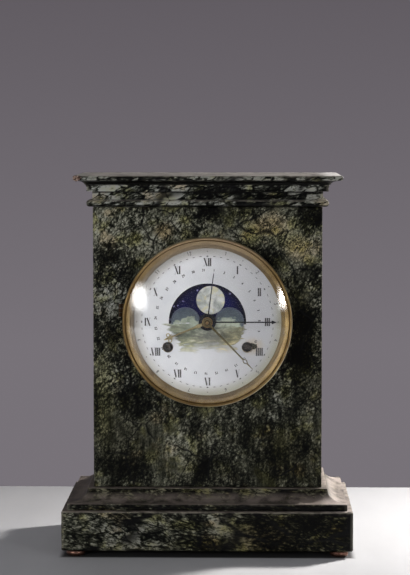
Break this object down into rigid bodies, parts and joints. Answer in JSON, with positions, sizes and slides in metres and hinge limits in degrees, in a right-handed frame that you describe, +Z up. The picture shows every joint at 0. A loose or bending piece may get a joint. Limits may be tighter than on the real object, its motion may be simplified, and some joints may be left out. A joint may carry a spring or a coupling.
{
  "type": "mantel clock",
  "caption": "Marble mantel clock on feet: hinged glazed bezel, enamel dial with moon opening and calendar hands, striking spring movement with pendulum and bell, hinged back door.",
  "frame": {"origin": "centre of the clock's outline on the floor plane, under the middle of the plinth", "axes": "+Z up, -Y out of the dial toward the viewer, +X to the viewer's right"},
  "size_m": [0.2868, 0.1836, 0.3745],
  "materials": {
    "marble": "gloss",
    "brass": "satin",
    "gilt": "satin",
    "blued_steel": "satin",
    "steel": "satin",
    "enamel": "gloss",
    "painted_disc": "satin",
    "glass": "polished",
    "copper": "satin"
  },
  "bodies": {
    "case": {"front_ring": "brass", "bezel_hinge_pin": "steel", "dial": "enamel", "dial_plate": "brass", "front_plate": "brass", "back_plate": "brass", "suspension_cock": "brass", "bell": "brass", "back_ring": "brass", "back_door_hinge_pin": "steel", "strap_left": "brass", "strap_right": "brass", "plinth": "marble", "base_moulding": "marble", "front_slab": "marble", "back_slab": "marble", "left_slab": "marble", "right_slab": "marble", "frieze_slab": "marble", "top_slab": "marble", "foot_front_left": "copper", "foot_front_right": "copper", "foot_back_left": "copper", "foot_back_right": "copper"},
    "bezel": {"bezel": "brass", "glass": "glass", "sloping_ring": "brass"},
    "back_door": {"back_door": "brass"},
    "minute": {"centre_wheel": "brass", "cannon_pinion": "steel", "minute_hand": "gilt", "hand_nut": "gilt"},
    "hour": {"hour_wheel": "brass", "hour_hand": "gilt"},
    "motion": {"minute_wheel": "brass"},
    "calendar": {"calendar_wheel": "brass"},
    "date": {"date_wheel": "brass", "date_hand": "blued_steel"},
    "month": {"month_wheel": "brass", "month_hand": "blued_steel"},
    "moon": {"moon_disc": "painted_disc"},
    "second": {"second_wheel": "brass"},
    "going_barrel": {"going_barrel": "brass", "going_mainspring": "steel"},
    "third": {"third_wheel": "brass"},
    "escape": {"escape_wheel": "brass"},
    "going_winder": {"going_winding_arbor": "steel"},
    "going_click": {"going_click": "steel"},
    "pendulum": {"suspension_spring": "steel", "pendulum_rod": "steel", "pendulum_bob": "brass"},
    "anchor": {"anchor": "steel"},
    "pin_wheel": {"pin_wheel": "brass"},
    "strike_barrel": {"strike_barrel": "brass", "strike_mainspring": "steel"},
    "count": {"count_arbor": "brass"},
    "fly": {"fly": "steel"},
    "strike_winder": {"strike_winding_arbor": "steel"},
    "strike_click": {"strike_click": "steel"},
    "hammer": {"hammer": "steel"}
  },
  "joints": [
    {"name": "bezel_hinge", "type": "hinge", "parent": "case", "child": "bezel", "pos_m": [-0.0861, -0.0665, 0.2416], "axis": [0, 0, -1], "range_deg": [0, 110]},
    {"name": "back_door_hinge", "type": "hinge", "parent": "case", "child": "back_door", "pos_m": [-0.0849, 0.0665, 0.2301], "axis": [0, 0, 1], "range_deg": [0, 110]},
    {"name": "minute_turn", "type": "hinge", "parent": "case", "child": "minute", "pos_m": [0, 0, 0.2301], "axis": [0, 1, 0], "continuous": true},
    {"name": "hour_turn", "type": "hinge", "parent": "case", "child": "hour", "pos_m": [0, 0, 0.2301], "axis": [0, 1, 0], "continuous": true},
    {"name": "motion_turn", "type": "hinge", "parent": "case", "child": "motion", "pos_m": [-0.01273, 0, 0.24283], "axis": [0, 1, 0], "continuous": true},
    {"name": "calendar_turn", "type": "hinge", "parent": "case", "child": "calendar", "pos_m": [0.01273, 0, 0.24283], "axis": [0, 1, 0], "continuous": true},
    {"name": "date_turn", "type": "hinge", "parent": "case", "child": "date", "pos_m": [0, 0, 0.2301], "axis": [0, 1, 0], "continuous": true},
    {"name": "month_turn", "type": "hinge", "parent": "case", "child": "month", "pos_m": [0, 0, 0.2301], "axis": [0, 1, 0], "continuous": true},
    {"name": "moon_turn", "type": "hinge", "parent": "case", "child": "moon", "pos_m": [0, 0, 0.2301], "axis": [0, 1, 0], "continuous": true},
    {"name": "second_turn", "type": "hinge", "parent": "case", "child": "second", "pos_m": [0.02135, 0, 0.22409], "axis": [0, 1, 0], "continuous": true},
    {"name": "going_barrel_turn", "type": "hinge", "parent": "case", "child": "going_barrel", "pos_m": [0.039, 0, 0.2051], "axis": [0, 1, 0], "continuous": true},
    {"name": "third_turn", "type": "hinge", "parent": "case", "child": "third", "pos_m": [-0.00802, 0, 0.25], "axis": [0, 1, 0], "continuous": true},
    {"name": "escape_turn", "type": "hinge", "parent": "case", "child": "escape", "pos_m": [0, 0, 0.2681], "axis": [0, 1, 0], "continuous": true},
    {"name": "going_wind", "type": "hinge", "parent": "case", "child": "going_winder", "pos_m": [0.039, 0, 0.2051], "axis": [0, 1, 0], "continuous": true},
    {"name": "going_click_lift", "type": "hinge", "parent": "case", "child": "going_click", "pos_m": [0.05, 0, 0.2121], "axis": [0, 1, 0], "range_deg": [0, 15], "stiffness_Nm_per_rad": 0.01},
    {"name": "pendulum_swing", "type": "hinge", "parent": "case", "child": "pendulum", "pos_m": [0, 0, 0.2826], "axis": [0, 1, 0], "range_deg": [-3, 3]},
    {"name": "anchor_rock", "type": "hinge", "parent": "case", "child": "anchor", "pos_m": [0, 0, 0.2826], "axis": [0, 1, 0], "range_deg": [-3, 3]},
    {"name": "strike_run", "type": "hinge", "parent": "case", "child": "pin_wheel", "pos_m": [-0.03083, 0, 0.25019], "axis": [0, 1, 0], "continuous": true},
    {"name": "strike_barrel_turn", "type": "hinge", "parent": "case", "child": "strike_barrel", "pos_m": [-0.039, 0, 0.2051], "axis": [0, 1, 0], "continuous": true},
    {"name": "count_turn", "type": "hinge", "parent": "case", "child": "count", "pos_m": [-0.02692, 0, 0.22803], "axis": [0, 1, 0], "continuous": true},
    {"name": "fly_turn", "type": "hinge", "parent": "case", "child": "fly", "pos_m": [-0.03083, 0, 0.26639], "axis": [0, 1, 0], "continuous": true},
    {"name": "strike_wind", "type": "hinge", "parent": "case", "child": "strike_winder", "pos_m": [-0.039, 0, 0.2051], "axis": [0, 1, 0], "continuous": true},
    {"name": "strike_click_lift", "type": "hinge", "parent": "case", "child": "strike_click", "pos_m": [-0.05, 0, 0.2121], "axis": [0, -1, 0], "range_deg": [0, 15], "stiffness_Nm_per_rad": 0.01},
    {"name": "hammer_lift", "type": "hinge", "parent": "case", "child": "hammer", "pos_m": [-0.05, 0, 0.2611], "axis": [0, 1, 0], "range_deg": [0, 10], "stiffness_Nm_per_rad": 0.02}
  ],
  "couplings": [
    {"joint": "hour_turn", "follows": "minute_turn", "ratio": 0.083333},
    {"joint": "motion_turn", "follows": "minute_turn", "ratio": -0.33333},
    {"joint": "calendar_turn", "follows": "minute_turn", "ratio": -0.041667},
    {"joint": "date_turn", "follows": "minute_turn", "ratio": 0.0013441},
    {"joint": "month_turn", "follows": "minute_turn", "ratio": 0.00011408},
    {"joint": "moon_turn", "follows": "minute_turn", "ratio": 0.00070621},
    {"joint": "second_turn", "follows": "minute_turn", "ratio": -0.13333},
    {"joint": "going_barrel_turn", "follows": "minute_turn", "ratio": 0.016667},
    {"joint": "third_turn", "follows": "minute_turn", "ratio": -10},
    {"joint": "escape_turn", "follows": "minute_turn", "ratio": 110},
    {"joint": "anchor_rock", "follows": "pendulum_swing", "ratio": 1},
    {"joint": "count_turn", "follows": "strike_run", "ratio": -0.11111},
    {"joint": "strike_barrel_turn", "follows": "strike_run", "ratio": 0.022222},
    {"joint": "fly_turn", "follows": "strike_run", "ratio": -8}
  ]
}
